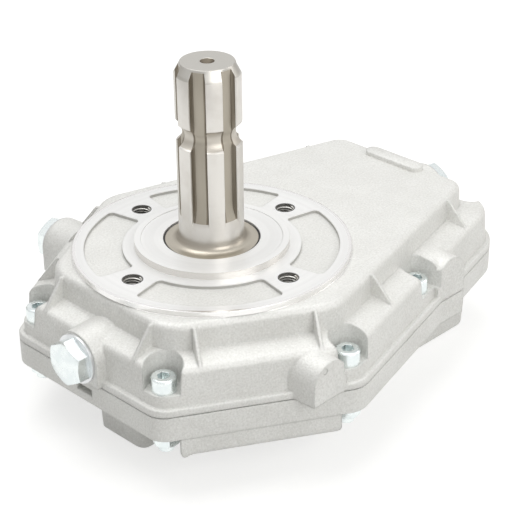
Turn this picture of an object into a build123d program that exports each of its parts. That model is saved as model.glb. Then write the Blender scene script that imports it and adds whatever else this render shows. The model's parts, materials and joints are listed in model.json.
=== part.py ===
from build123d import *
from math import acos, atan2, cos, degrees, hypot, pi, radians, sin, sqrt, tan
import os

# Speed increaser for a tractor power take-off. The origin is on the input shaft's axis, at the
# machined pad that the gearbox is bolted up by. +Z points along the input shaft, and +X points to
# the narrow end, where the pump is bolted underneath. Sizes are in millimetres.

# Levels of the two castings
cast_top = -3.0
ledge = -16.5
ledge_shoulder = -20.0
pocket_floor = -33.0
lip_top = -39.0
parting = -43.0
gasket_thickness = 0.5
nut_seat = -57.5
pan_bottom = -69.0
pump_face = -92.0
input_hub_bottom = -90.0
rim_floor = -52.0

# Screws that clamp the castings together, one side of the long axis
left_screw = (-81.4, 49.4)
corner_screw = (0.3, 97.6)
side_screw = (80.8, 75.6)
end_screw = (167.5, 39.5)
screw_radius = 4.0
screw_end_margin = 4.0
head_radius = 6.5
head_height = 8.0
head_edge = 0.8
head_key_size = 6.0
head_key_depth = 4.5
nut_size = 13.0
nut_height = 6.5
hexagon_edge = 0.9
screw_clearance = 0.5
thread_clearance = 0.02

# Casting walls, measured outwards from the line through the screws
lip_reach = 11.2
gasket_inset = 0.4
wall_reach = 8.3
dome_reach = (-5.6, -6.2, -6.6, -10.5)
ledge_strip = 1.5
wall_thickness = 5.5
roof_thickness = 6.0
draft = 3.0
lip_corners = (12.0, 14.0, 30.0)
wall_corners = (9.0, 11.0, 27.0)
dome_corners = (22.0, 20.0, 11.0)
cavity_corners = (16.0, 14.0, 6.0)
ledge_edge_radius = 4.0
dome_edge_radius = 4.0
lip_edge_radius = 1.0
pocket_radius = 9.3
pillar_wall = 2.2
nut_pocket_radius = 9.5

# Machined pad and pilot
pad_radius = 74.7
pilot_radius = 41.6
pilot_height = 4.0
pilot_land = 3.6
face_step = 0.4
bolt_circle = 113.14
pad_bolts = 4
pad_bolt_radius = 5.0
pad_bolt_depth = 15.0
bolt_boss_wall = 4.0
recess_inner = 48.0
recess_outer = 68.5
recess_depth = 2.0
recess_half_angle = 33.5
recess_corner = 3.0

# Raised strip at the narrow end
strip_start = 147.8
strip_half_width = 19.0
strip_height = 1.6

# Oil bosses and plugs
plug_height = -30.0
plug_boss_radius = 14.5
plug_boss_reach = 2.7
plug_hex = 22.0
plug_hex_height = 7.4
plug_thread = 9.0
plug_thread_length = 12.0
plug_washer_radius = 13.5
plug_washer_thickness = 1.5
front_boss_at = -20.0
front_boss_face = 104.8
front_boss_radius = 12.0
front_boss_height = -33.0
side_boss_at = 102.0
side_boss_face = 83.5
side_boss_radius = 11.7
side_boss_height = -30.5
ejector_mark_radius = 1.6
ejector_mark_depth = 0.5
ejector_mark_inset = 4.0
notch_width = 12.0
notch_top = -48.0
notch_height = 4.0
notch_depth = 6.0

# Webs that brace the dome: distance along each side from that side's first screw
web_thickness = 2.0
web_top = -4.5
web_top_reach = 0.5
web_foot_gap = 1.5
web_root = 3.0
web_root_depth = 2.0
left_webs = (14.8,)
front_webs = (17.5, 79.5)
side_webs = (41.0, 140.0)

# Pump end, foot and pan under the lower casting
pump_offset = 83.75
pump_bolts_long = 128.1
pump_bolts_wide = 98.4
pump_bolt_radius = 5.0
pump_bolt_depth = 20.0
pump_pilot_radius = 25.4
pump_pilot_depth = 6.0
block_margin = 8.3
block_corner = 12.0
block_edge = 1.5
foot_start = -70.6
foot_length = 24.0
foot_half_width = 18.0
foot_corner = 6.0
pan_wall = 6.0
pan_left = 75.0
pan_left_reach = 5.5
pan_reach = 10.6
pan_shoulder = 30.0
pan_shoulder_width = 60.0
pan_edge_radius = 4.0

# Gears
module_size = 2.5
gear_teeth = 53
pinion_teeth = 14
pressure_angle = 20.0
profile_shift = 0.2
backlash = 0.24
flank_start = 0.003
gear_top = -34.0
gear_width = 24.0
pinion_overhang = 1.0
gear_floor_gap = 3.0
gear_side_gap = 2.75
gear_rim = 8.0
gear_hub_radius = 35.0
gear_recess = 5.0
gear_hole_radius = 7.0
gear_holes = 6

# Bearings: bore, outside, width, roller diameter, number of rollers
input_upper_bearing = (50.0, 90.0, 20.0, 11.0, 14)
journal_bearing = (40.0, 80.0, 18.0, 10.0, 13)
pinion_upper_bearing = (25.0, 47.0, 12.0, 6.0, 10)
upper_bearing_low = -30.0
roller_clearance = 0.05
roller_end_gap = 0.2
rib_width = 3.0
cage_thickness = 2.4
hub_wall = 6.0
hub_lip = 1.0

# Input shaft
shaft_top = 103.3
spline_radius = 17.45
spline_root = 14.7
spline_teeth = 6
spline_tooth_width = 8.7
spline_phase = -3.0
spline_end = 16.5
spline_cutter_radius = 32.0
lock_groove_below_top = 38.0
lock_groove_radius = 6.8
lock_groove_floor = 13.9
shaft_tip_radius = 14.2
shaft_tip_height = 6.0
centre_hole_radius = 3.9
centre_hole_depth = 9.0
collar_top = 3.0
collar_fillet = 4.5
gear_seat_radius = 24.5
shoulder_radius = 29.0
circlip_thickness = 1.75
circlip_depth = 1.25
circlip_outer_radius = 22.5
circlip_gap = 8.0
shaft_beyond_circlip = 3.85
shaft_end_clearance = 2.0

# Key, spacer, seals and pins
key_width = 14.0
key_height = 9.0
key_in_shaft = 5.5
key_length = 20.0
key_end_flat = 0.1
key_clearance = 0.1
spacer_radius = 25.5
input_seal_radius = 36.0
input_seal_width = 10.0
input_seal_lip_top = 2.6
input_seal_lip_radius = 26.0
seal_hole_clearance = 0.1
seal_clearance = 0.05
seal_shell = 1.5
pinion_seal_journal = 17.5
pinion_seal_radius = 25.0
pinion_seal_width = 7.0
seat_relief = 1.0
pinion_collar_radius = 23.0
pinion_shoulder_radius = 16.0
pinion_end_margin = 1.0
socket_teeth = 13
socket_minor = 9.55
socket_major = 11.1
socket_depth = 34.0
dowel_radius = 3.0
dowel_length = 14.0
dowel_wall = 4.5

input_axis = (0.0, 0.0)
pump_axis = (pump_offset, 0.0)
lower_top = parting - gasket_thickness
gear_bottom = gear_top - gear_width
pan_floor = gear_bottom - gear_floor_gap
lower_bearing_low = pan_floor - journal_bearing[2]
upper_seal_low = upper_bearing_low + input_upper_bearing[2]
pinion_bearing_top = upper_bearing_low + pinion_upper_bearing[2]
circlip_low = lower_bearing_low - circlip_thickness
shaft_bottom = circlip_low - shaft_beyond_circlip
pinion_bottom = lower_bearing_low - pinion_seal_width
pinion_teeth_low = gear_bottom - pinion_overhang
pinion_teeth_top = gear_top + pinion_overhang
gear_tip_radius = module_size * (gear_teeth / 2 + 1 - profile_shift)
pinion_tip_radius = module_size * (pinion_teeth / 2 + 1 + profile_shift)
gear_chamber_radius = gear_tip_radius + gear_side_gap
pinion_chamber_radius = pinion_tip_radius + gear_side_gap
pan_radius = gear_chamber_radius + pan_wall
pillar_radius = pocket_radius + pillar_wall
dowel_pillar = dowel_radius + dowel_wall
cavity_reach = wall_reach - wall_thickness
screw_end = nut_seat - nut_height - screw_end_margin

os.makedirs("parts", exist_ok=True)


def save(piece, name):
    piece.part.label = name
    export_step(piece.part, f"parts/{name}.step")


def mirrored(points):
    return [point for x, y in points for point in ((x, y), (x, -y))]


screw_places = mirrored([left_screw, corner_screw, side_screw, end_screw])
dowel_places = mirrored(
    [((left_screw[0] + corner_screw[0]) / 2, (left_screw[1] + corner_screw[1]) / 2)]
)


def line_through(first, second):
    # outward normal and distance from the origin of the line through two screws
    along = (second[0] - first[0], second[1] - first[1])
    length = hypot(*along)
    normal = (-along[1] / length, along[0] / length)
    return normal, normal[0] * first[0] + normal[1] * first[1]


left_side = ((-1.0, 0.0), -left_screw[0])
front_side = line_through(left_screw, corner_screw)
long_side = line_through(corner_screw, side_screw)
end_side = ((1.0, 0.0), end_screw[0])
sides = (left_side, front_side, long_side, end_side)


def meet(first, second, first_reach, second_reach):
    # corner where two sides meet when each is moved outwards by its reach
    (ax, ay), a = first
    (bx, by), b = second
    a, b = a + first_reach, b + second_reach
    across = ax * by - ay * bx
    return ((a * by - b * ay) / across, (b * ax - a * bx) / across)


def body_outline(height, reach, corner_radii):
    # the casting's outline at a level, mirrored about the long axis, with its corners rounded
    reaches = reach if isinstance(reach, tuple) else (reach,) * len(sides)
    corners = [
        meet(sides[i], sides[i + 1], reaches[i], reaches[i + 1]) for i in range(len(sides) - 1)
    ]
    with BuildSketch(Plane.XY.offset(height)) as outline:
        Polygon(*[(x, -y) for x, y in corners], *reversed(corners), align=None)
        for corner, radius in zip(corners, corner_radii):
            for point in mirrored([corner]):
                fillet(outline.vertices().sort_by_distance(Vector(*point))[0], radius)
    return outline.sketch


def deeper(reach, amount):
    return tuple(one - amount for one in reach)


def pocket_direction(first, second):
    # a screw at a corner opens its pocket halfway between the two sides
    return degrees(atan2(first[0][1] + second[0][1], first[0][0] + second[0][0]))


pocket_angles = []
for angle in (
    pocket_direction(left_side, front_side),
    pocket_direction(front_side, long_side),
    degrees(atan2(long_side[0][1], long_side[0][0])),
    0.0,
):
    pocket_angles += [angle, -angle]


def pockets(height, radius):
    # round-ended slots that run from each screw out through the wall
    with BuildSketch(Plane.XY.offset(height)) as slots:
        for (x, y), angle in zip(screw_places, pocket_angles):
            with Locations(Location((x, y, 0), angle)):
                Circle(radius)
                Rectangle(3 * radius, 2 * radius, align=(Align.MIN, Align.CENTER))
    return slots.sketch


def discs(height, places, radius):
    with BuildSketch(Plane.XY.offset(height)) as circles:
        with Locations(*places):
            Circle(radius)
    return circles.sketch


def inward_plane(x, y, angle):
    # upright plane at a boss face, looking back into the casting
    nx, ny = cos(radians(angle)), sin(radians(angle))
    return Plane(origin=(x, y, 0), x_dir=(ny, -nx, 0), z_dir=(-nx, -ny, 0))


def round_boss(plane, half_width, centre_height, low):
    # boss face with a round top and straight sides, drawn on an upright plane
    with BuildSketch(plane) as face:
        with Locations((0, centre_height)):
            Circle(half_width)
        with Locations((0, low)):
            Rectangle(2 * half_width, centre_height - low, align=(Align.CENTER, Align.MIN))
    return face.sketch


def web_planes(side, start, distances, foot_reach):
    # upright plane of each web, at the foot of the dome, with its X axis pointing outwards
    (nx, ny), offset = side
    run_start = start[0] * ny - start[1] * nx
    for distance in distances:
        run = run_start + distance
        foot = (nx * (offset + foot_reach) + ny * run, ny * (offset + foot_reach) - nx * run)
        for side_sign in (1, -1):
            yield Plane(
                origin=(foot[0], side_sign * foot[1], 0),
                x_dir=(nx, side_sign * ny, 0),
                z_dir=(side_sign * ny, -nx, 0),
            )


def turned(name, place, points):
    # piece revolved about an upright axis from its half profile of (radius, height) points
    with BuildPart() as piece:
        with BuildSketch(Plane.XZ.move(Location((*place, 0)))):
            Polygon(*points, align=None)
        revolve(axis=Axis((*place, 0), (0, 0, 1)))
    save(piece, name)


def ring_profile(inner, outer, low, high):
    return [(inner, low), (outer, low), (outer, high), (inner, high)]


def bearing(name, place, low, sizes):
    # cylindrical roller bearing: plain outer ring, inner ring with two ribs, rollers and a cage
    bore, outside, width, roller, count = sizes
    pitch = (bore + outside) / 4
    track = pitch - roller / 2 - roller_clearance
    roller_length = width - 2 * rib_width - 2 * roller_end_gap
    rib = track + roller / 4
    with BuildPart() as outer_ring:
        with BuildSketch(Plane.XY.offset(low)):
            with Locations(place):
                Circle(outside / 2)
                Circle(pitch + roller / 2 + roller_clearance, mode=Mode.SUBTRACT)
        extrude(amount=width)
    save(outer_ring, f"{name}_outer_ring")
    with BuildPart() as inner_ring:
        extrude(discs(low, [place], rib), amount=width)
        with BuildSketch(Plane.XY.offset(low + rib_width)):
            with Locations(place):
                Circle(rib)
                Circle(track, mode=Mode.SUBTRACT)
        extrude(amount=width - 2 * rib_width, mode=Mode.SUBTRACT)
        extrude(discs(low, [place], bore / 2), amount=width, mode=Mode.SUBTRACT)
    save(inner_ring, f"{name}_inner_ring")
    with BuildPart(Plane.XY.offset(low + width / 2)) as rollers:
        with Locations(place), PolarLocations(pitch, count):
            Cylinder(roller / 2, roller_length)
    save(rollers, f"{name}_rollers")
    with BuildPart(Plane.XY.offset(low + width / 2)) as cage:
        with Locations(place):
            Cylinder(pitch + cage_thickness / 2, width - rib_width)
            Cylinder(pitch - cage_thickness / 2, width - rib_width, mode=Mode.SUBTRACT)
            with PolarLocations(pitch, count):
                Box(
                    roller,
                    roller + 2 * roller_end_gap,
                    roller_length + 2 * roller_end_gap,
                    mode=Mode.SUBTRACT,
                )
    save(cage, f"{name}_cage")


def gear_outline(height, place, teeth, shift, phase):
    # involute spur gear with straight root flanks below the base circle
    pitch = module_size * teeth / 2
    base = pitch * cos(radians(pressure_angle))
    tip = pitch + module_size * (1 + shift)
    root = pitch - module_size * (1.25 - shift)

    def involute(radius):
        return sqrt((radius / base) ** 2 - 1) - acos(base / radius)

    thickness = module_size * (pi / 2 + 2 * shift * tan(radians(pressure_angle))) - backlash / 2
    half_tooth = thickness / (2 * pitch)
    start = max(base, root) + flank_start
    flank = [(root, half_tooth + involute(pitch) - involute(start))]
    for radius in (start, (start + tip) / 2, tip):
        flank.append((radius, half_tooth + involute(pitch) - involute(radius)))
    points = []
    for tooth in range(teeth):
        centre = radians(phase) + 2 * pi * tooth / teeth
        for radius, angle in flank:
            points.append((radius * cos(centre - angle), radius * sin(centre - angle)))
        for radius, angle in reversed(flank):
            points.append((radius * cos(centre + angle), radius * sin(centre + angle)))
    with BuildSketch(Plane.XY.offset(height)) as outline:
        with Locations(place):
            Polygon(*points, align=None)
    return outline.sketch


def rim_cavity(height):
    # inside of both castings at the joint face, with a pillar left round each screw and dowel
    with BuildSketch(Plane.XY.offset(height)) as cavity:
        add(body_outline(0, cavity_reach, cavity_corners))
        with Locations(*screw_places):
            Circle(pillar_radius, mode=Mode.SUBTRACT)
        with Locations(*dowel_places):
            Circle(dowel_pillar, mode=Mode.SUBTRACT)
    return cavity.sketch


def hexagon(size, height, angle, hole=0.0):
    # hexagonal head or nut on the ground plane, with the corners of its upper side rounded off
    corner = size / sqrt(3)
    with BuildPart() as rounding:
        extrude(discs(0, [(0, 0)], corner), amount=height)
        chamfer(
            rounding.faces().sort_by(Axis.Z)[-1].edges(), hexagon_edge, corner - size / 2
        )
    with BuildPart() as blank:
        with BuildSketch():
            RegularPolygon(size / 2, 6, major_radius=False, rotation=angle)
            if hole:
                Circle(hole, mode=Mode.SUBTRACT)
        extrude(amount=height)
        add(rounding.part, mode=Mode.INTERSECT)
    return blank.part


# Upper casting: first its lip and its dome, then the stepped body that carries them
left_face = left_side[1] + lip_reach + plug_boss_reach
end_face = end_side[1] + lip_reach + plug_boss_reach
left_plug_plane = inward_plane(-left_face, 0, 180)
end_plug_plane = inward_plane(end_face, 0, 0)
rear_plug_plane = inward_plane(front_boss_at, front_boss_face, 90)
plug_planes = (left_plug_plane, end_plug_plane, rear_plug_plane)
blank_boss_plane = inward_plane(front_boss_at, -front_boss_face, -90)
side_boss_planes = [
    inward_plane(side_boss_at, side_boss_face, 90),
    inward_plane(side_boss_at, -side_boss_face, -90),
]
draft_lean = (ledge_shoulder - lip_top) * tan(radians(draft))
boss_run = 20.0
cut_margin = 1.0
level_tolerance = 0.01

with BuildPart() as lip:
    extrude(body_outline(parting, lip_reach, lip_corners), amount=lip_top - parting)
    fillet(lip.faces().sort_by(Axis.Z)[-1].edges(), lip_edge_radius)

with BuildPart() as dome:
    extrude(body_outline(ledge, dome_reach, dome_corners), amount=cast_top - ledge, taper=draft)
    fillet(dome.faces().sort_by(Axis.Z)[-1].edges(), dome_edge_radius)

with BuildPart() as recess:
    with BuildSketch() as sector:
        Circle(recess_outer)
        Circle(recess_inner, mode=Mode.SUBTRACT)
        wedge_x = 2 * recess_outer
        wedge_y = wedge_x * tan(radians(recess_half_angle))
        Polygon((0, 0), (wedge_x, -wedge_y), (wedge_x, wedge_y), align=None, mode=Mode.INTERSECT)
        fillet(sector.vertices(), recess_corner)
    extrude(amount=-recess_depth)

with BuildPart() as upper_housing:
    shoulder_reach = wall_reach - draft_lean
    shoulder = body_outline(ledge_shoulder, shoulder_reach, wall_corners)
    loft([body_outline(lip_top, wall_reach, wall_corners), shoulder], ruled=True)
    loft([shoulder, body_outline(ledge, deeper(dome_reach, -ledge_strip), dome_corners)], ruled=True)
    fillet(
        upper_housing.edges().filter_by_position(
            Axis.Z, ledge_shoulder - level_tolerance, ledge_shoulder + level_tolerance
        ),
        ledge_edge_radius,
    )
    # bosses grow out of the wall before the pockets are cut
    for plane in plug_planes:
        boss = round_boss(plane, plug_boss_radius, plug_height, parting)
        extrude(boss, amount=boss_run, taper=-draft)
    boss = round_boss(blank_boss_plane, front_boss_radius, front_boss_height, parting)
    extrude(boss, amount=boss_run, taper=-draft)
    for plane in side_boss_planes:
        boss = round_boss(plane, side_boss_radius, side_boss_height, parting)
        extrude(boss, amount=boss_run, taper=-draft)
    split(bisect_by=Plane.XY.offset(parting), keep=Keep.TOP)
    add(lip.part)
    # round-ended screw pockets, open to the outside
    extrude(
        pockets(pocket_floor, pocket_radius),
        amount=ledge - pocket_floor + cut_margin,
        taper=-draft,
        mode=Mode.SUBTRACT,
    )
    # dome, standing behind the pockets, and the webs that brace it on the ledge
    extrude(body_outline(lip_top, dome_reach, dome_corners), amount=ledge - lip_top)
    add(dome.part)
    webs = list(
        web_planes(left_side, (left_screw[0], -left_screw[1]), left_webs, dome_reach[0])
    )
    webs += web_planes(front_side, left_screw, front_webs, dome_reach[1])
    webs += web_planes(long_side, corner_screw, side_webs, dome_reach[2])
    web_foot = wall_reach - dome_reach[0] - web_foot_gap
    for plane in webs:
        with BuildSketch(plane) as web:
            Polygon(
                (-web_root, ledge - web_root_depth),
                (web_foot, ledge_shoulder - web_root_depth),
                (web_foot, ledge_shoulder),
                (web_top_reach, web_top),
                (-web_root, web_top),
                align=None,
            )
        extrude(web.sketch, amount=web_thickness / 2, both=True)
    # machined pad with its pilot
    extrude(discs(cast_top, [input_axis], pad_radius), amount=-cast_top)
    extrude(discs(0, [input_axis], pilot_radius), amount=pilot_height)
    with BuildSketch(Plane.XY.offset(cast_top)) as strip:
        strip_end = end_screw[0] + dome_reach[3] - dome_edge_radius
        with Locations((strip_start, 0)):
            Rectangle(
                strip_end - strip_start, 2 * strip_half_width, align=(Align.MIN, Align.CENTER)
            )
    extrude(strip.sketch, amount=strip_height)

    # inside: gear space, dome, bearing and seal seats, threaded holes with bosses
    extrude(rim_cavity(parting), amount=ledge - wall_thickness - parting, mode=Mode.SUBTRACT)
    dome_inside = body_outline(
        ledge - wall_thickness, deeper(dome_reach, wall_thickness), dome_corners
    )
    extrude(
        dome_inside,
        amount=cast_top - roof_thickness - ledge + wall_thickness,
        mode=Mode.SUBTRACT,
    )
    roof = cast_top - roof_thickness
    input_hub = input_upper_bearing[1] / 2 + hub_wall
    pinion_hub = pinion_upper_bearing[1] / 2 + hub_wall
    hub_low = upper_bearing_low - hub_lip
    extrude(discs(hub_low, [input_axis], input_hub), amount=roof - hub_low)
    extrude(discs(hub_low, [pump_axis], pinion_hub), amount=roof - hub_low)
    boss_low = -pad_bolt_depth - bolt_boss_wall
    with BuildSketch(Plane.XY.offset(boss_low)) as bolt_bosses:
        with PolarLocations(bolt_circle / 2, pad_bolts):
            Circle(pad_bolt_radius + bolt_boss_wall)
    extrude(bolt_bosses.sketch, amount=roof - boss_low)
    extrude(
        discs(hub_low, [input_axis], input_upper_bearing[1] / 2),
        amount=upper_seal_low - hub_low,
        mode=Mode.SUBTRACT,
    )
    extrude(
        discs(upper_seal_low, [input_axis], input_seal_radius),
        amount=input_seal_width,
        mode=Mode.SUBTRACT,
    )
    extrude(
        discs(0, [input_axis], input_seal_lip_radius + seal_hole_clearance),
        amount=pilot_height,
        mode=Mode.SUBTRACT,
    )
    extrude(
        discs(pilot_height - face_step, [input_axis], pilot_radius - pilot_land),
        amount=face_step,
        mode=Mode.SUBTRACT,
    )
    extrude(
        discs(hub_low, [pump_axis], pinion_upper_bearing[1] / 2),
        amount=pinion_bearing_top - hub_low,
        mode=Mode.SUBTRACT,
    )
    extrude(
        discs(pinion_bearing_top, [pump_axis], pinion_upper_bearing[1] / 2 - hub_wall),
        amount=pinion_end_margin + shaft_end_clearance,
        mode=Mode.SUBTRACT,
    )
    with PolarLocations(0, pad_bolts, start_angle=180 / pad_bolts):
        add(recess.part, mode=Mode.SUBTRACT)
    with Locations(Plane.XY):
        with PolarLocations(bolt_circle / 2, pad_bolts):
            Hole(pad_bolt_radius, depth=pad_bolt_depth)
    # ejector mark on the blank boss
    with BuildSketch(blank_boss_plane) as mark:
        mark_inset = front_boss_radius - ejector_mark_inset
        with Locations((mark_inset / 2, front_boss_height + mark_inset)):
            Circle(ejector_mark_radius)
    extrude(mark.sketch, amount=ejector_mark_depth, mode=Mode.SUBTRACT)
    # oil holes, screw holes and dowel holes
    for plane in plug_planes:
        with BuildSketch(plane) as oil_hole:
            with Locations((0, plug_height)):
                Circle(plug_thread)
        extrude(oil_hole.sketch, amount=boss_run, mode=Mode.SUBTRACT)
    extrude(
        discs(parting, screw_places, screw_radius + screw_clearance),
        amount=pocket_floor - parting,
        mode=Mode.SUBTRACT,
    )
    extrude(
        discs(parting, dowel_places, dowel_radius), amount=dowel_length / 2, mode=Mode.SUBTRACT
    )

save(upper_housing, "upper_housing")

# Lower casting: rim, pan round the gear, bearing hub, pump block and foot
block_long = pump_bolts_long + 2 * block_margin
block_wide = pump_bolts_wide + 2 * block_margin

with BuildPart() as pan:
    with BuildSketch(Plane.XY.offset(pan_bottom)):
        front_left = meet(left_side, front_side, pan_left_reach, pan_reach)
        front_corner = meet(front_side, long_side, pan_reach, pan_reach)
        near = [
            (-pan_left, left_screw[1]),
            front_left,
            front_corner,
            (pan_shoulder, pan_shoulder_width),
        ]
        Polygon(*[(x, -y) for x, y in near], *reversed(near), align=None)
        with Locations(input_axis):
            Circle(pan_radius)
        add(pockets(0, nut_pocket_radius), mode=Mode.SUBTRACT)
    extrude(amount=nut_seat - pan_bottom)
    fillet(pan.faces().sort_by(Axis.Z)[0].edges(), pan_edge_radius)

with BuildPart() as pump_block:
    with BuildSketch(Plane.XY.offset(pump_face)):
        with Locations(pump_axis):
            RectangleRounded(block_long, block_wide, block_corner)
    extrude(amount=nut_seat - pump_face, taper=-draft)
    chamfer(pump_block.faces().sort_by(Axis.Z)[0].edges(), block_edge)

with BuildPart() as foot:
    with BuildSketch(Plane.XY.offset(pump_face)) as foot_outline:
        with Locations((foot_start, 0)):
            Rectangle(foot_length, 2 * foot_half_width, align=(Align.MIN, Align.CENTER))
        fillet(foot_outline.vertices(), foot_corner)
    extrude(amount=pan_bottom + pan_edge_radius - pump_face, taper=-draft)
    chamfer(foot.faces().sort_by(Axis.Z)[0].edges(), block_edge)

with BuildPart() as lower_housing:
    extrude(body_outline(nut_seat, lip_reach, lip_corners), amount=lower_top - nut_seat)
    fillet(lower_housing.faces().sort_by(Axis.Z)[0].edges(), lip_edge_radius)
    for plane in side_boss_planes:
        with BuildSketch(plane) as side_boss:
            with Locations((0, nut_seat)):
                Rectangle(
                    2 * side_boss_radius, lower_top - nut_seat, align=(Align.CENTER, Align.MIN)
                )
        extrude(side_boss.sketch, amount=boss_run)
    add(pan.part)
    hub_radius = journal_bearing[1] / 2 + hub_wall
    extrude(
        discs(input_hub_bottom, [input_axis], hub_radius), amount=nut_seat - input_hub_bottom
    )
    add(pump_block.part)
    add(foot.part)
    # gear space: shallow under the rim, deep under the gear and pinion
    extrude(rim_cavity(rim_floor), amount=lower_top - rim_floor, mode=Mode.SUBTRACT)
    extrude(
        discs(pan_floor, [input_axis], gear_chamber_radius),
        amount=lower_top - pan_floor,
        mode=Mode.SUBTRACT,
    )
    extrude(
        discs(pan_floor, [pump_axis], pinion_chamber_radius),
        amount=lower_top - pan_floor,
        mode=Mode.SUBTRACT,
    )
    extrude(
        discs(lower_bearing_low, [input_axis, pump_axis], journal_bearing[1] / 2),
        amount=pan_floor - lower_bearing_low + cut_margin,
        mode=Mode.SUBTRACT,
    )
    end_space = journal_bearing[1] / 2 - hub_wall
    end_space_low = shaft_bottom - shaft_end_clearance
    extrude(
        discs(end_space_low, [input_axis], end_space),
        amount=lower_bearing_low - end_space_low,
        mode=Mode.SUBTRACT,
    )
    extrude(
        discs(pinion_bottom, [pump_axis], pinion_seal_radius),
        amount=pinion_seal_width,
        mode=Mode.SUBTRACT,
    )
    extrude(
        discs(lower_bearing_low - seat_relief, [pump_axis], end_space),
        amount=seat_relief,
        mode=Mode.SUBTRACT,
    )
    extrude(
        discs(pump_face, [pump_axis], pump_pilot_radius),
        amount=pump_pilot_depth,
        mode=Mode.SUBTRACT,
    )
    with BuildSketch(Plane.XY.offset(pump_face)) as pump_holes:
        with Locations(pump_axis):
            with GridLocations(pump_bolts_long, pump_bolts_wide, 2, 2):
                Circle(pump_bolt_radius)
    extrude(pump_holes.sketch, amount=pump_bolt_depth, mode=Mode.SUBTRACT)
    # screw and dowel holes, nut clearance and the notch under the left plug
    extrude(
        discs(nut_seat, screw_places, screw_radius + screw_clearance),
        amount=lower_top - nut_seat,
        mode=Mode.SUBTRACT,
    )
    extrude(
        discs(pump_face, screw_places, nut_pocket_radius),
        amount=nut_seat - pump_face,
        mode=Mode.SUBTRACT,
    )
    extrude(
        discs(parting - dowel_length / 2, dowel_places, dowel_radius),
        amount=dowel_length / 2 - gasket_thickness,
        mode=Mode.SUBTRACT,
    )
    with BuildSketch(inward_plane(-left_side[1] - lip_reach, 0, 180)) as notch:
        with Locations((0, notch_top)):
            Rectangle(notch_width, notch_height, align=(Align.CENTER, Align.MAX))
    extrude(notch.sketch, amount=notch_depth, mode=Mode.SUBTRACT)

save(lower_housing, "lower_housing")

with BuildPart() as housing_gasket:
    extrude(
        body_outline(lower_top, lip_reach - gasket_inset, lip_corners), amount=gasket_thickness
    )
    extrude(rim_cavity(lower_top), amount=gasket_thickness, mode=Mode.SUBTRACT)
    extrude(
        discs(lower_top, screw_places, screw_radius + screw_clearance),
        amount=gasket_thickness,
        mode=Mode.SUBTRACT,
    )
    extrude(
        discs(lower_top, dowel_places, dowel_radius), amount=gasket_thickness, mode=Mode.SUBTRACT
    )
    extrude(
        discs(lower_top, [input_axis], gear_chamber_radius),
        amount=gasket_thickness,
        mode=Mode.SUBTRACT,
    )

save(housing_gasket, "housing_gasket")

# Fasteners
with BuildPart() as dowel_pins:
    extrude(discs(parting - dowel_length / 2, dowel_places, dowel_radius), amount=dowel_length)

save(dowel_pins, "dowel_pins")

with BuildPart() as screw:
    extrude(discs(screw_end, [(0, 0)], screw_radius), amount=pocket_floor - screw_end)
    extrude(discs(pocket_floor, [(0, 0)], head_radius), amount=head_height)
    chamfer(screw.faces().sort_by(Axis.Z)[-1].edges(), head_edge)
    with BuildSketch(Plane.XY.offset(pocket_floor + head_height)):
        RegularPolygon(head_key_size / 2, 6, major_radius=False)
    extrude(amount=-head_key_depth, mode=Mode.SUBTRACT)

with BuildPart() as housing_screws:
    with Locations(*screw_places):
        add(screw.part)

save(housing_screws, "housing_screws")

nut = hexagon(nut_size, nut_height, 0, screw_radius + thread_clearance)

with BuildPart() as housing_nuts:
    with Locations(*[Location((x, y, nut_seat), (180, 0, 0)) for x, y in screw_places]):
        add(nut)

save(housing_nuts, "housing_nuts")

plug_head = hexagon(plug_hex, plug_hex_height, 30)


def oil_plug(name, plane):
    # hexagon-head plug on its sealing washer
    seat = Plane(
        origin=plane.origin + Vector(0, 0, plug_height), x_dir=plane.x_dir, z_dir=-plane.z_dir
    )
    with BuildPart() as washer:
        with BuildSketch(seat):
            Circle(plug_washer_radius)
            Circle(plug_thread, mode=Mode.SUBTRACT)
        extrude(amount=plug_washer_thickness)
    save(washer, f"{name}_washer")
    head_seat = seat.offset(plug_washer_thickness)
    with BuildPart() as plug:
        with BuildSketch(head_seat):
            Circle(plug_thread)
        extrude(amount=-plug_thread_length)
        with Locations(head_seat):
            add(plug_head)
    save(plug, name)


oil_plug("left_plug", left_plug_plane)
oil_plug("end_plug", end_plug_plane)
oil_plug("rear_plug", rear_plug_plane)

# Input shaft: turned blank, spline slots with their run-out, grooves and keyway
journal_radius = journal_bearing[0] / 2
collar_radius = input_upper_bearing[0] / 2
circlip_seat = journal_radius - circlip_depth
slot_depth = spline_radius - spline_root
run_out = sqrt(spline_cutter_radius**2 - (spline_cutter_radius - slot_depth) ** 2)
slot_margin = 1.0
slot_outer = spline_radius + slot_margin
slot_top = shaft_top + slot_margin
slot_full_depth = spline_end + run_out
slot_foot = slot_full_depth - sqrt(
    spline_cutter_radius**2 - (spline_cutter_radius - slot_outer + spline_root) ** 2
)

with BuildPart() as spline_slots:
    with BuildSketch(Plane.XY.offset(slot_foot)):
        Circle(slot_outer)
        with PolarLocations(0, spline_teeth, start_angle=spline_phase):
            Rectangle(
                2 * slot_outer,
                spline_tooth_width,
                align=(Align.MIN, Align.CENTER),
                mode=Mode.SUBTRACT,
            )
    extrude(amount=slot_top - slot_foot)
    with BuildSketch(Plane.XZ):
        with BuildLine():
            Line((spline_root, slot_top), (spline_root, slot_full_depth))
            TangentArc(
                (spline_root, slot_full_depth), (slot_outer, slot_foot), tangent=(0, -1)
            )
            Line((slot_outer, slot_foot), (slot_outer, slot_top))
            Line((slot_outer, slot_top), (spline_root, slot_top))
        make_face()
    revolve(axis=Axis.Z, mode=Mode.INTERSECT)

key_centre = gear_seat_radius - key_in_shaft + key_height / 2
key_level = gear_top - gear_width / 2

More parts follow.
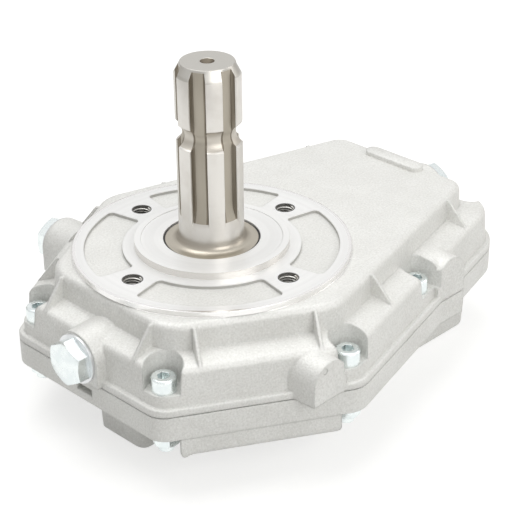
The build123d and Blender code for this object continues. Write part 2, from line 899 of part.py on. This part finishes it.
with BuildPart() as input_shaft:
    with BuildSketch(Plane.XZ) as half_profile:
        Polygon(
            (0, shaft_bottom),
            (circlip_seat, shaft_bottom),
            (journal_radius, shaft_bottom + circlip_depth),
            (journal_radius, circlip_low),
            (circlip_seat, circlip_low),
            (circlip_seat, lower_bearing_low),
            (journal_radius, lower_bearing_low),
            (journal_radius, gear_bottom),
            (gear_seat_radius, gear_bottom),
            (gear_seat_radius, gear_top),
            (shoulder_radius, gear_top),
            (shoulder_radius, upper_bearing_low),
            (collar_radius, upper_bearing_low),
            (collar_radius, collar_top),
            (spline_radius, collar_top),
            (spline_radius, shaft_top - shaft_tip_height),
            (shaft_tip_radius, shaft_top),
            (0, shaft_top),
            align=None,
        )
        fillet(
            half_profile.vertices().sort_by_distance(Vector(spline_radius, collar_top))[0],
            collar_fillet,
        )
    revolve(axis=Axis.Z)
    add(spline_slots.part, mode=Mode.SUBTRACT)
    with Locations((0, 0, shaft_top - lock_groove_below_top)):
        Torus(lock_groove_floor + lock_groove_radius, lock_groove_radius, mode=Mode.SUBTRACT)
    with Locations((0, 0, shaft_top)):
        CounterSinkHole(
            centre_hole_radius / 2, centre_hole_radius, depth=centre_hole_depth
        )
    with Locations((key_centre, 0, key_level)):
        Box(key_height, key_width, key_length, mode=Mode.SUBTRACT)

save(input_shaft, "input_shaft")

with BuildPart() as drive_gear_key:
    with Locations((key_centre, 0, key_level)):
        Box(key_height, key_width, key_length)
    fillet(drive_gear_key.edges().filter_by(Axis.X), key_width / 2 - key_end_flat)

save(drive_gear_key, "drive_gear_key")

# Gears
gear_root_radius = module_size * (gear_teeth / 2 - 1.25 - profile_shift)
gear_rim_radius = gear_root_radius - gear_rim
gear_hole_circle = (gear_hub_radius + gear_rim_radius) / 2

with BuildPart() as drive_gear:
    extrude(
        gear_outline(gear_bottom, input_axis, gear_teeth, -profile_shift, 0), amount=gear_width
    )
    for height in (gear_bottom, gear_top - gear_recess):
        with BuildSketch(Plane.XY.offset(height)):
            Circle(gear_rim_radius)
            Circle(gear_hub_radius, mode=Mode.SUBTRACT)
        extrude(amount=gear_recess, mode=Mode.SUBTRACT)
    with BuildSketch(Plane.XY.offset(gear_bottom)):
        Circle(gear_seat_radius)
        with PolarLocations(gear_hole_circle, gear_holes):
            Circle(gear_hole_radius)
        with Locations((key_centre + key_clearance, 0)):
            Rectangle(key_height, key_width + key_clearance)
    extrude(amount=gear_width, mode=Mode.SUBTRACT)

save(drive_gear, "drive_gear")

pinion_steps = (
    (pinion_seal_journal, pinion_bottom, lower_bearing_low),
    (journal_radius, lower_bearing_low, pan_floor),
    (pinion_collar_radius, pan_floor, pinion_teeth_low),
    (pinion_shoulder_radius, pinion_teeth_top, upper_bearing_low),
    (pinion_upper_bearing[0] / 2, upper_bearing_low, pinion_bearing_top + pinion_end_margin),
)
socket_slot = pi * (socket_minor + socket_major) / 2 / socket_teeth

with BuildPart() as output_pinion:
    extrude(
        gear_outline(
            pinion_teeth_low, pump_axis, pinion_teeth, profile_shift, 180 / pinion_teeth
        ),
        amount=pinion_teeth_top - pinion_teeth_low,
    )
    for radius, low, high in pinion_steps:
        extrude(discs(low, [pump_axis], radius), amount=high - low)
    with BuildSketch(Plane.XY.offset(pinion_bottom)) as socket:
        with Locations(pump_axis):
            Circle(socket_minor)
            with PolarLocations(0, socket_teeth):
                Rectangle(socket_major, socket_slot, align=(Align.MIN, Align.CENTER))
    extrude(socket.sketch, amount=socket_depth, mode=Mode.SUBTRACT)

save(output_pinion, "output_pinion")

with BuildPart() as input_circlip:
    with BuildSketch(Plane.XY.offset(circlip_low)):
        Circle(circlip_outer_radius)
        Circle(circlip_seat, mode=Mode.SUBTRACT)
        with Locations((-circlip_outer_radius, 0)):
            Rectangle(2 * circlip_gap, circlip_gap, mode=Mode.SUBTRACT)
    extrude(amount=circlip_thickness)

save(input_circlip, "input_circlip")

turned(
    "gear_spacer",
    input_axis,
    ring_profile(journal_radius, spacer_radius, pan_floor, gear_bottom),
)

# Seals: a shell pressed into the casting and a lip that runs on the shaft
seal_bore = collar_radius + seal_clearance
turned(
    "input_seal",
    input_axis,
    [
        (input_seal_radius - seal_shell, upper_seal_low),
        (input_seal_radius, upper_seal_low),
        (input_seal_radius, 0),
        (input_seal_lip_radius, 0),
        (input_seal_lip_radius, input_seal_lip_top),
        (seal_bore, input_seal_lip_top),
        (seal_bore, upper_seal_low + 2 * seal_shell),
        (seal_bore + 2 * seal_shell, upper_seal_low + 2 * seal_shell),
        (seal_bore + 2 * seal_shell, -seal_shell),
        (input_seal_radius - seal_shell, -seal_shell),
    ],
)
output_bore = pinion_seal_journal + seal_clearance
output_seal_top = lower_bearing_low - seat_relief
turned(
    "output_seal",
    pump_axis,
    [
        (output_bore, pinion_bottom),
        (pinion_seal_radius, pinion_bottom),
        (pinion_seal_radius, output_seal_top),
        (pinion_seal_radius - seal_shell, output_seal_top),
        (pinion_seal_radius - seal_shell, pinion_bottom + seal_shell),
        (output_bore + seal_shell, pinion_bottom + seal_shell),
        (output_bore + seal_shell, output_seal_top - seal_shell),
        (output_bore, output_seal_top - seal_shell),
    ],
)

bearing("input_upper_bearing", input_axis, upper_bearing_low, input_upper_bearing)
bearing("input_lower_bearing", input_axis, lower_bearing_low, journal_bearing)
bearing("pinion_upper_bearing", pump_axis, upper_bearing_low, pinion_upper_bearing)
bearing("pinion_lower_bearing", pump_axis, lower_bearing_low, journal_bearing)
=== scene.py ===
import json
import math

import bpy
from mathutils import Matrix, Vector


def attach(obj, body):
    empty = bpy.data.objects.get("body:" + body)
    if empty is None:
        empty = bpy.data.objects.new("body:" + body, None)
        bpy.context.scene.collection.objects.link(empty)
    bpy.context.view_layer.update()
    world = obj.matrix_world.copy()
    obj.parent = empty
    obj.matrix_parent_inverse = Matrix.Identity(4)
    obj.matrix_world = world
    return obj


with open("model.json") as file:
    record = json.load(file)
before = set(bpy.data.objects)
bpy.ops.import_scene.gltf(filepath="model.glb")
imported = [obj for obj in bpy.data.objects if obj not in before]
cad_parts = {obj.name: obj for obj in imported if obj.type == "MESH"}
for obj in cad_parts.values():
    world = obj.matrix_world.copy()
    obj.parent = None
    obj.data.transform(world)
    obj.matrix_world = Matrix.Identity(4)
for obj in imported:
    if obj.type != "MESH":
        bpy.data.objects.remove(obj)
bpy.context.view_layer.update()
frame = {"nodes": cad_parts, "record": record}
nodes = frame["nodes"]
print("frame loaded:", len(nodes), "nodes")


class Shade:
    # wraps a socket, so that shader maths reads as plain expressions;
    # every operator adds its Math node
    def __init__(self, tree, socket=None):
        self.tree = tree
        self.socket = socket

    def node(self, kind, settings=None, inputs=None, output=0):
        # a node by its type, with its settings first and then what its sockets get
        made = self.tree.nodes.new("ShaderNode" + kind)
        for key, value in (settings or {}).items():
            if key == "stops":
                for index, (place, colour) in enumerate(value):
                    stops = made.color_ramp.elements
                    stop = stops[index] if index < 2 else stops.new(place)
                    stop.position = place
                    stop.color = (*colour, 1)
            else:
                setattr(made, key, value)
        for key, value in (inputs or {}).items():
            if isinstance(value, Shade):
                self.tree.links.new(value.socket, made.inputs[key])
            elif value is not None:
                made.inputs[key].default_value = value
        return Shade(self.tree, made.outputs[output] if made.outputs else None)

    def math(self, operation, *values):
        return self.node("Math", {"operation": operation}, dict(enumerate(values)))

    def __add__(self, other):
        return self.math("ADD", self, other)

    def __sub__(self, other):
        return self.math("SUBTRACT", self, other)

    def __mul__(self, other):
        return self.math("MULTIPLY", self, other)

    def __rsub__(self, other):
        return self.math("SUBTRACT", other, self)

    def __gt__(self, other):
        return self.math("GREATER_THAN", self, other)

    def __lt__(self, other):
        return self.math("LESS_THAN", self, other)

    __radd__ = __add__
    __rmul__ = __mul__

    def within(self, low, high):
        # 1 between low and high, 0 outside
        return (self > low) * (self < high)

    def step(self, low, high):
        # 0 below low, 1 above high, smooth between
        return self.node(
            "MapRange",
            {"interpolation_type": "SMOOTHSTEP"},
            {"Value": self, "From Min": low, "From Max": high},
        )

    def mix(self, first, second):
        # colour first where this is 0 and second where it is 1
        made = self.tree.nodes.new("ShaderNodeMix")
        made.data_type = "RGBA"
        self.tree.links.new(self.socket, made.inputs[0])
        for place, colour in ((6, first), (7, second)):
            if isinstance(colour, Shade):
                self.tree.links.new(colour.socket, made.inputs[place])
            else:
                made.inputs[place].default_value = (*colour, 1)
        return Shade(self.tree, made.outputs[2])

    def noise(self, where, scale, detail, roughness=0.55):
        return self.node(
            "TexNoise",
            None,
            {"Vector": where, "Scale": scale, "Detail": detail, "Roughness": roughness},
        )

    def bump(self, height, strength, distance, normal=None):
        return self.node(
            "Bump",
            None,
            {"Height": height, "Strength": strength, "Distance": distance, "Normal": normal},
        )

    def softEdges(self, radius):
        return self.node("Bevel", {"samples": 6}, {"Radius": radius})


def newMaterial(name):
    material = bpy.data.materials.new(name)
    material.use_nodes = True
    material.node_tree.nodes.clear()
    base = Shade(material.node_tree)
    where = base.node("TexCoord", output="Object")
    return material, base, where


def closeMaterial(base, **inputs):
    # Base_Color is the socket Base Color
    sockets = {key.replace("_", " "): value for key, value in inputs.items()}
    shader = base.node("BsdfPrincipled", None, sockets)
    base.node("OutputMaterial", None, {"Surface": shader})


def splitPlace(base, where):
    # x, y, z and distance from the input axis
    parts = [base.node("SeparateXYZ", None, {"Vector": where}, output=i) for i in range(3)]
    flat = base.node("VectorMath", {"operation": "MULTIPLY"}, {0: where, 1: (1, 1, 0)})
    radius = base.node("VectorMath", {"operation": "LENGTH"}, {0: flat}, output="Value")
    return (*parts, radius)


castLook = {
    "pale": (0.79, 0.79, 0.765),
    "deep": (0.62, 0.615, 0.585),
    "speck": (0.92, 0.92, 0.90),
    "metallic": 0.25,
    "roughness": 0.46,
    "cloudRoughness": 0.10,
    "grain": 950.0,
    "grainBump": 0.35,
    "grainDepth": 0.00060,
    "pitRange": (0.52, 0.34),
    "pitShare": 0.45,
    "speckRange": (0.58, 0.70),
    "speckShare": 0.50,
    "cloud": 45.0,
    "cloudRange": (0.25, 0.75),
    "cloudShare": 0.30,
    "edge": 0.0018,
}
machinedLook = {
    "colour": (0.87, 0.87, 0.86),
    "second": (0.82, 0.82, 0.81),
    "metallic": 0.30,
    "roughness": 0.30,
    "rings": 2400.0,
    "ringRoughness": 0.1,
    "ringBump": 0.06,
    "ringDepth": 0.00005,
    "bands": 260.0,
    "bandRange": (0.35, 0.65),
    "slant": 0.4,
    "edge": 0.0004,
}
padLook = {
    "top": -0.0005,  # all above is turned
    "rim": 0.0730,
    "radius": 0.0750,
    "rimLow": -0.0031,
    "rimHigh": 0.01,
    "rimColour": (0.90, 0.89, 0.88),
    "holeCircle": 0.05657,
    "holeRim": 0.0063,
    # painted highlight for the countersink ring round each threaded hole
    "ringHighlightColour": (0.95, 0.95, 0.95),
    # painted shade in each threaded hole and on the face round its mouth, out to this radius
    "holeShadeRadius": 0.0056,
    "holeShadeColour": (0.17, 0.165, 0.155),
    "recessFloor": -0.0019,
    # painted shade on the recesses' walls
    "shadedRecessWall": (0.47, 0.465, 0.44),
    "pilot": 0.0416,
    "pilotBand": 0.0002,
    "pilotTop": 0.0039,
    # painted shade, darker and warmer, on the pilot's side
    "pilotShadeColour": (0.78, 0.76, 0.73),
    "shine": 0.6,
    "shineSmooth": 0.12,
}
pumpFace = -0.0916  # all below is milled


def castFinish(base, where):
    # shot-blasted skin: fine pits and specks, hardly any cloudiness
    look = castLook
    grain = base.noise(where, look["grain"], detail=2.0)
    cloud = base.noise(where, look["cloud"], detail=3.0)
    cloudy = cloud.step(*look["cloudRange"]) * look["cloudShare"]
    pitted = grain.step(*look["pitRange"]) * look["pitShare"]
    specked = grain.step(*look["speckRange"]) * look["speckShare"]
    colour = cloudy.mix(look["pale"], look["deep"])
    colour = pitted.mix(colour, look["deep"])
    colour = specked.mix(colour, look["speck"])
    normal = base.bump(grain, look["grainBump"], look["grainDepth"], base.softEdges(look["edge"]))
    return colour, look["roughness"] + look["cloudRoughness"] * cloud, normal


def castHousing():
    # blasted die casting, turned bright on the round pad and its pilot
    material, base, where = newMaterial("castHousing")
    x, y, z, radius = splitPlace(base, where)
    colour, roughness, normal = castFinish(base, where)
    pad, turning = padLook, machinedLook
    rim = radius.within(pad["rim"], pad["radius"]) * z.within(pad["rimLow"], pad["rimHigh"])
    turned = base.math("MAXIMUM", z > pad["top"], rim)
    along = base.node("CombineXYZ", None, {0: radius, 2: z * turning["slant"]})
    rings = base.noise(along, turning["rings"], detail=1.0)
    bands = base.noise(along, turning["bands"], detail=1.0)
    # painted highlight: a bright countersink ring round each threaded hole; painted shade inside it
    # and on the face round its mouth
    far = base.math("MAXIMUM", base.math("ABSOLUTE", x), base.math("ABSOLUTE", y))
    near = base.math("MINIMUM", base.math("ABSOLUTE", x), base.math("ABSOLUTE", y))
    outward = far - pad["holeCircle"]
    fromHole = base.math("SQRT", outward * outward + near * near)
    holeHighlightRing = fromHole < pad["holeRim"]
    holeShade = fromHole < pad["holeShadeRadius"]
    # painted shade darkens the recesses' walls; the pilot's side gets painted shade and shines
    shadedRecessWall = z.within(pad["recessFloor"], pad["top"]) * (radius < pad["rim"])
    pilotSide = radius.within(pad["pilot"] - pad["pilotBand"], pad["pilot"] + pad["pilotBand"])
    pilotSide = pilotSide * z.within(0, pad["pilotTop"])
    turnedColour = bands.step(*turning["bandRange"]).mix(turning["colour"], turning["second"])
    turnedColour = rim.mix(turnedColour, pad["rimColour"])
    # painted highlight on the countersink rings
    turnedColour = holeHighlightRing.mix(turnedColour, pad["ringHighlightColour"])
    # painted shade on the pilot's side
    turnedColour = pilotSide.mix(turnedColour, pad["pilotShadeColour"])
    # painted shade on the recesses' walls
    wholeColour = turned.mix(shadedRecessWall.mix(colour, pad["shadedRecessWall"]), turnedColour)
    shiny = base.math("MAXIMUM", base.math("MAXIMUM", rim, holeHighlightRing), pilotSide)
    metallic = turning["metallic"] - castLook["metallic"] + pad["shine"] * shiny
    smoother = turning["roughness"] - roughness + turning["ringRoughness"] * rings
    smoother = smoother - pad["shineSmooth"] * shiny
    edges = base.softEdges(turning["edge"])
    turnedNormal = base.bump(rings, turning["ringBump"], turning["ringDepth"], edges)
    closeMaterial(
        base,
        # painted shade in and round each threaded hole
        Base_Color=holeShade.mix(wholeColour, pad["holeShadeColour"]),
        Metallic=castLook["metallic"] + turned * metallic,
        Roughness=roughness + turned * smoother,
        Normal=turned.mix(normal, turnedNormal),
    )
    return material


def castBase():
    # blasted die casting, milled where the pump seats
    material, base, where = newMaterial("castBase")
    colour, roughness, normal = castFinish(base, where)
    milled = base.node("SeparateXYZ", None, {"Vector": where}, output=2) < pumpFace
    closeMaterial(
        base,
        Base_Color=milled.mix(colour, machinedLook["colour"]),
        Metallic=castLook["metallic"] + milled * (machinedLook["metallic"] - castLook["metallic"]),
        Roughness=roughness + milled * (machinedLook["roughness"] - roughness),
        Normal=normal,
    )
    return material


shaftLook = {
    "land": (0.72, 0.70, 0.665),
    "stain": (0.56, 0.525, 0.48),
    "stainSize": 90.0,
    "stainRange": (0.4, 0.7),
    "stainShare": 0.35,
    # painted shade where the shaft meets its collar
    "foot": (0.42, 0.385, 0.33),
    "footShadeTop": 0.0110,
    "footShadeLow": 0.0045,
    # painted shade: the collar is the shaft's own steel, painted darker
    "collarShade": (0.48, 0.445, 0.38),
    "collarFrom": 0.0190,
    # painted shade on the tapered tip and its end face
    "tip": (0.56, 0.545, 0.51),
    "tipFrom": 0.0974,
    "tipSlope": 0.54,
    "teeth": 6,
    "phase": math.radians(-3),
    # brownish milled slots with painted shade, darkest on the flanks and in streaks
    "slot": (0.27, 0.24, 0.195),
    "slotDeepShade": (0.19, 0.165, 0.13),
    "slotRadius": 0.0166,
    "slotEndRadius": 0.0141,
    "slotFoot": 0.0150,
    "slotTop": 0.1032,
    # less painted shade in the slots' middles
    "floor": (0.42, 0.385, 0.325),
    "floorShare": -0.45,
    "groove": (0.58, 0.545, 0.49),
    "grooveLow": 0.0590,
    "grooveHigh": 0.0717,
    # painted shade in the centre hole at the tip
    "centreHole": 0.0037,
    "streaks": 900.0,
    "streakRange": (0.35, 0.65),
    "streakStretch": (1, 1, 0.03),
    "streakRoughness": 0.12,
    "streakBump": 0.10,
    "streakDepth": 0.00008,
    "roughness": 0.30,
    "slotRoughness": 0.10,
    "edge": 0.0005,
}


def shaftSteel():
    # ground shaft; its milled slots are brownish with painted shade, and painted shade darkens its
    # foot, collar and tip
    material, base, where = newMaterial("shaftSteel")
    x, y, z, radius = splitPlace(base, where)
    look = shaftLook
    scaled = {0: where, 1: look["streakStretch"]}
    stretched = base.node("VectorMath", {"operation": "MULTIPLY"}, scaled)
    streaks = base.noise(stretched, look["streaks"], detail=2.0)
    stain = base.noise(where, look["stainSize"], detail=4.0)
    stained = stain.step(*look["stainRange"]) * look["stainShare"]
    land = stained.mix(look["land"], look["stain"])
    # painted shade at the foot, on the collar and on the tip
    land = z.step(look["footShadeTop"], look["footShadeLow"]).mix(land, look["foot"])
    land = (radius > look["collarFrom"]).mix(land, look["collarShade"])
    land = (z > look["tipFrom"]).mix(land, look["tip"])
    # 1 in the middle of a tooth, -1 in the middle of a slot
    turn = base.math("COSINE", (base.math("ARCTAN2", y, x) - look["phase"]) * look["teeth"])
    groove = z.within(look["grooveLow"], look["grooveHigh"]) * (turn > 0)
    # painted shade on the slots' flanks and in dark streaks, less in their middles
    slot = streaks.step(*look["streakRange"]).mix(look["slot"], look["slotDeepShade"])
    slot = (turn < look["floorShare"]).mix(slot, look["floor"])
    slot = groove.mix(slot, look["groove"])
    # painted shade in the centre hole
    slot = (radius < look["centreHole"]).mix(slot, look["slotDeepShade"])
    # the slots run out through the tapered tip
    taper = (look["slotTop"] - z) * look["tipSlope"] + look["slotEndRadius"]
    reach = base.math("MINIMUM", taper, look["slotRadius"])
    inSlot = (radius < reach) * z.within(look["slotFoot"], look["slotTop"])
    roughness = look["roughness"] + look["streakRoughness"] * streaks
    edges = base.softEdges(look["edge"])
    closeMaterial(
        base,
        Base_Color=inSlot.mix(land, slot),
        Metallic=1.0,
        Roughness=roughness + look["slotRoughness"] * inSlot,
        Normal=base.bump(streaks, look["streakBump"], look["streakDepth"], edges),
    )
    return material


metalLook = {
    "patches": 160.0,
    "patchRange": (0.35, 0.68),
    "patchRoughness": 0.14,
    "grain": 2200.0,
    "grainDepth": 0.00005,
}
blackLook = {
    "grain": 1400.0,
    "grainRange": (0.35, 0.7),
    "grainRoughness": 0.15,
    "grainBump": 0.15,
    "grainDepth": 0.00008,
    "edge": 0.0002,
}


def plainMetal(name, colour, second, roughness, edge, lift=0.05):
    # bare metal in two tones
    material, base, where = newMaterial(name)
    look = metalLook
    patches = base.noise(where, look["patches"], detail=4.0)
    grain = base.noise(where, look["grain"], detail=2.0)
    closeMaterial(
        base,
        Base_Color=patches.step(*look["patchRange"]).mix(colour, second),
        Metallic=1.0,
        Roughness=roughness + look["patchRoughness"] * patches,
        Normal=base.bump(grain, lift, look["grainDepth"], base.softEdges(edge)),
    )
    return material


def softBlack(name, colour, second, roughness):
    # dark rubber or sealing paper
    material, base, where = newMaterial(name)
    look = blackLook
    grain = base.noise(where, look["grain"], detail=3.0)
    edges = base.softEdges(look["edge"])
    closeMaterial(
        base,
        Base_Color=grain.step(*look["grainRange"]).mix(colour, second),
        Roughness=roughness + look["grainRoughness"] * grain,
        Normal=base.bump(grain, look["grainBump"], look["grainDepth"], edges),
    )
    return material


# two colours, roughness, the width of the worn edges and, for one, how much its grain lifts
metals = {
    "zinc_steel": ("zincSteel", (0.85, 0.895, 0.89), (0.77, 0.825, 0.83), 0.20, 0.0005, 0.02),
    "bearing_steel": ("bearingSteel", (0.62, 0.62, 0.62), (0.55, 0.55, 0.55), 0.14, 0.0004),
    "gear_steel": ("gearSteel", (0.42, 0.40, 0.37), (0.30, 0.28, 0.26), 0.28, 0.0003),
    "cage_steel": ("cageSteel", (0.50, 0.46, 0.38), (0.42, 0.38, 0.31), 0.34, 0.0003),
    "washer_aluminium": ("washerMetal", (0.78, 0.79, 0.80), (0.70, 0.71, 0.72), 0.30, 0.0003),
}
blacks = {
    "seal_rubber": ("sealRubber", (0.012, 0.012, 0.012), (0.03, 0.03, 0.03), 0.42),
    "gasket_paper": ("gasketPaper", (0.10, 0.10, 0.095), (0.20, 0.20, 0.19), 0.70),
}
finishes = {"shaft_steel": shaftSteel()}
finishes.update({slot: plainMetal(*values) for slot, values in metals.items()})
finishes.update({slot: softBlack(*values) for slot, values in blacks.items()})
castings = {"upper_housing": castHousing(), "lower_housing": castBase()}
for entry in frame["record"]["subparts"]:
    node = nodes[entry["node"]]
    material = castings.get(entry["node"]) or finishes[entry["material_slot"]]
    node.data.materials.clear()
    node.data.materials.append(material)
print("materials on the CAD nodes")


def select(piece):
    bpy.ops.object.select_all(action="DESELECT")
    piece.select_set(True)
    bpy.context.view_layer.objects.active = piece


mergeDistance = 1e-6
nodeAngle = 32.0  # facets that meet at more degrees stay sharp


def smoothNode(node, angle):
    # joins the loose facets and shades the round ones smooth, leaving the vertices as they are
    weld = node.modifiers.new("weld", "WELD")
    weld.merge_threshold = mergeDistance
    split = node.modifiers.new("edges", "EDGE_SPLIT")
    split.split_angle = math.radians(angle)
    for face in node.data.polygons:
        face.use_smooth = True


for node in nodes.values():
    smoothNode(node, nodeAngle)


def threadCoil(name, centre, look, body, material):
    # three-sided ridge wound along a threaded hole, closed at both ends
    bpy.ops.object.select_all(action="DESELECT")
    bpy.ops.mesh.primitive_circle_add(
        vertices=3, radius=look["depth"], location=(0, 0, 0), fill_type="NGON"
    )
    coil = bpy.context.object
    coil.name = name
    turn = Matrix.Rotation(math.radians(90), 4, "X") @ Matrix.Rotation(look["point"], 4, "Z")
    coil.data.transform(Matrix.Translation((look["radius"], 0, 0)) @ turn)
    screw = coil.modifiers.new("wind", "SCREW")
    screw.axis = "Z"
    screw.screw_offset = look["pitch"]
    screw.iterations = look["turns"]
    screw.steps = look["steps"]
    screw.render_steps = look["steps"]
    screw.use_merge_vertices = True
    select(coil)
    bpy.ops.object.modifier_apply(modifier="wind")
    bpy.ops.object.mode_set(mode="EDIT")
    bpy.ops.mesh.select_all(action="SELECT")
    bpy.ops.mesh.remove_doubles(threshold=mergeDistance)
    bpy.ops.mesh.fill_holes(sides=3)
    bpy.ops.mesh.normals_make_consistent(inside=False)
    bpy.ops.object.mode_set(mode="OBJECT")
    coil.data.transform(Matrix.Translation(centre))
    coil.data.materials.append(material)
    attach(coil, body)


padThread = {
    "radius": 0.00500,
    "depth": 0.00055,
    "point": math.radians(90),
    "pitch": 0.0015,
    "turns": 9,
    "steps": 28,
    "foot": -0.0143,
}
threadMetal = plainMetal("tappedThread", (0.66, 0.65, 0.62), (0.52, 0.51, 0.48), 0.34, 0.0001)
circle = padLook["holeCircle"]
for index in range(4):
    angle = math.radians(90 * index)
    place = (circle * math.cos(angle), circle * math.sin(angle), padThread["foot"])
    threadCoil(f"padThread{index + 1}", place, padThread, "housing", threadMetal)

pumpThread = dict(padThread, turns=11, foot=-0.0912)
pumpHoles = {"middle": 0.08375, "alongX": 0.06405, "alongY": 0.0492}
for index, (sideX, sideY) in enumerate(((1, 1), (1, -1), (-1, 1), (-1, -1))):
    placeX = pumpHoles["middle"] + sideX * pumpHoles["alongX"]
    place = (placeX, sideY * pumpHoles["alongY"], pumpThread["foot"])
    threadCoil(f"pumpThread{index + 1}", place, pumpThread, "housing", threadMetal)
print("threads wound")


endStripLook = {
    "from": Vector((0.1457, -0.0205, -0.0038)),
    "to": Vector((0.1550, 0.0205, -0.00045)),
    "corner": 0.0045,
    "cornerSteps": 8,
    "edge": 0.00035,
    "edgeSteps": 2,
    "angle": 30.0,
}


def bevelEdges(piece, wanted, offset, steps):
    # rounds the edges that wanted picks by their two end points
    select(piece)
    bpy.ops.object.mode_set(mode="EDIT")
    bpy.ops.mesh.select_all(action="DESELECT")
    bpy.ops.mesh.select_mode(type="EDGE")
    bpy.ops.object.mode_set(mode="OBJECT")
    points = piece.data.vertices
    for edge in piece.data.edges:
        first, second = (points[i].co for i in edge.vertices)
        edge.select = wanted(first, second)
    bpy.ops.object.mode_set(mode="EDIT")
    bpy.ops.mesh.bevel(offset=offset, segments=steps, affect="EDGES")
    bpy.ops.object.mode_set(mode="OBJECT")


def addEndStrip():
    # raised strip with rounded corners on the dome above the narrow end
    look = endStripLook
    size = look["to"] - look["from"]
    middle = (look["to"] + look["from"]) / 2
    bpy.ops.object.select_all(action="DESELECT")
    bpy.ops.mesh.primitive_cube_add(size=1)
    strip = bpy.context.object
    strip.name = "endStrip"
    strip.data.transform(Matrix.Translation(middle) @ Matrix.Diagonal((*size, 1)))

    def isUpright(first, second):
        return abs(first.z - second.z) > size.z / 2

    def isOnTop(first, second):
        return min(first.z, second.z) > look["to"].z - look["edge"] / 2

    bevelEdges(strip, isUpright, look["corner"], look["cornerSteps"])
    bevelEdges(strip, isOnTop, look["edge"], look["edgeSteps"])
    smoothNode(strip, look["angle"])
    # the upper casting's own material would turn the strip's top bright
    strip.data.materials.append(castings["lower_housing"])
    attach(strip, "housing")


addEndStrip()
print("strip raised at the narrow end")


# the photograph's camera, worked out from the round pad, the pilot and the shaft;
# the focal length is in pixels of an image this wide
shot = {
    "azimuth": math.radians(44.94),
    "elevation": math.radians(28.30),
    "roll": math.radians(-0.693),
    "distance": 0.8422,
    "target": Vector((0.02294, 0.0, -0.00826)),
    "focal": 1566.0,
    "image": 510.0,
    "sensor": 36.0,
    "clip": 20.0,
}


def addCamera():
    elevation, roll = shot["elevation"], shot["roll"]
    forward = Vector((0, math.cos(elevation), -math.sin(elevation)))
    right = Vector((1, 0, 0))
    up = right.cross(forward)
    leanRight = math.cos(roll) * right + math.sin(roll) * up
    leanUp = -math.sin(roll) * right + math.cos(roll) * up
    data = bpy.data.cameras.new("shot")
    data.sensor_width = shot["sensor"]
    data.lens = shot["sensor"] * shot["focal"] / shot["image"]
    data.clip_end = shot["clip"]
    camera = bpy.data.objects.new("shot", data)
    bpy.context.scene.collection.objects.link(camera)
    turn = Matrix.Rotation(-shot["azimuth"], 4, "Z")
    axes = Matrix((leanRight, leanUp, -forward)).transposed().to_4x4()
    place = Matrix.Translation(shot["target"] - shot["distance"] * forward)
    camera.matrix_world = turn @ place @ axes
    bpy.context.scene.camera = camera


addCamera()

floorLook = {"height": -0.0921, "size": 12.0, "colour": (0.50, 0.50, 0.49), "glow": 0.62}


def addFloor():
    # white to the camera and to shiny metal, without lighting the object more
    bpy.ops.object.select_all(action="DESELECT")
    bpy.ops.mesh.primitive_plane_add(size=floorLook["size"], location=(0, 0, floorLook["height"]))
    floor = bpy.context.object
    floor.name = "floor"
    material, base = newMaterial("paleFloor")[:2]
    seen = base.math(
        "MAXIMUM",
        base.node("LightPath", output="Is Camera Ray"),
        base.node("LightPath", output="Is Glossy Ray"),
    )
    diffuse = base.node("BsdfDiffuse", None, {"Color": (*floorLook["colour"], 1)})
    glow = base.node("Emission", None, {"Color": (1, 1, 1, 1), "Strength": seen * floorLook["glow"]})
    both = base.node("AddShader", None, {0: diffuse, 1: glow})
    base.node("OutputMaterial", None, {"Surface": both})
    floor.data.materials.append(material)


addFloor()

lamps = {
    "overhead": {
        "place": (0.05, 0.35, 1.5),
        "size": (1.6, 1.2),
        "power": 14.6,
        "colour": (1, 1, 1),
    },
    "front": {
        "place": (-0.15, -1.25, 0.75),
        "size": (1.2, 0.8),
        "power": 7.6,
        "colour": (1, 0.995, 0.985),
    },
    "right": {
        "place": (1.1, -0.7, 0.5),
        "size": (0.5, 0.9),
        "power": 2.0,
        "colour": (1, 0.98, 0.95),
    },
}
lampAim = Vector((0.03, 0, -0.02))
for name, look in lamps.items():
    data = bpy.data.lights.new(name, "AREA")
    data.shape = "RECTANGLE"
    data.size, data.size_y = look["size"]
    data.energy = look["power"]
    data.color = look["colour"]
    lamp = bpy.data.objects.new(name, data)
    bpy.context.scene.collection.objects.link(lamp)
    lamp.location = look["place"]
    toward = lampAim - Vector(look["place"])
    lamp.rotation_euler = toward.to_track_quat("-Z", "Y").to_euler()

# a pale studio with a darker warm band near the ground, which the bright metal shows
skyLook = {
    "strength": 0.46,
    "glossStrength": 0.95,
    "stops": [
        (0.0, (0.80, 0.80, 0.80)),
        (0.47, (0.48, 0.45, 0.415)),
        (0.56, (0.62, 0.60, 0.57)),
        (0.70, (0.95, 0.95, 0.95)),
    ],
}


def addSky():
    world = bpy.data.worlds.new("studio")
    bpy.context.scene.world = world
    world.use_nodes = True
    world.node_tree.nodes.clear()
    base = Shade(world.node_tree)
    where = base.node("TexCoord", output="Generated")
    # from -1 straight down and 1 straight up to 0 and 1
    height = base.node("SeparateXYZ", None, {"Vector": where}, output=2) * 0.5 + 0.5
    sky = base.node("ValToRGB", {"stops": skyLook["stops"]}, {"Fac": height})
    seen = base.node("LightPath", output="Is Camera Ray")
    glossy = base.node("LightPath", output="Is Glossy Ray")
    strength = skyLook["strength"] + glossy * (skyLook["glossStrength"] - skyLook["strength"])
    light = base.node("Background", None, {"Color": sky, "Strength": strength})
    white = base.node("Background", None, {"Color": (1, 1, 1, 1), "Strength": 1.0})
    both = base.node("MixShader", None, {0: seen, 1: light, 2: white})
    base.node("OutputWorld", None, {"Surface": both})


addSky()
bpy.context.scene.view_settings.view_transform = "Standard"
print("camera, floor and light set")
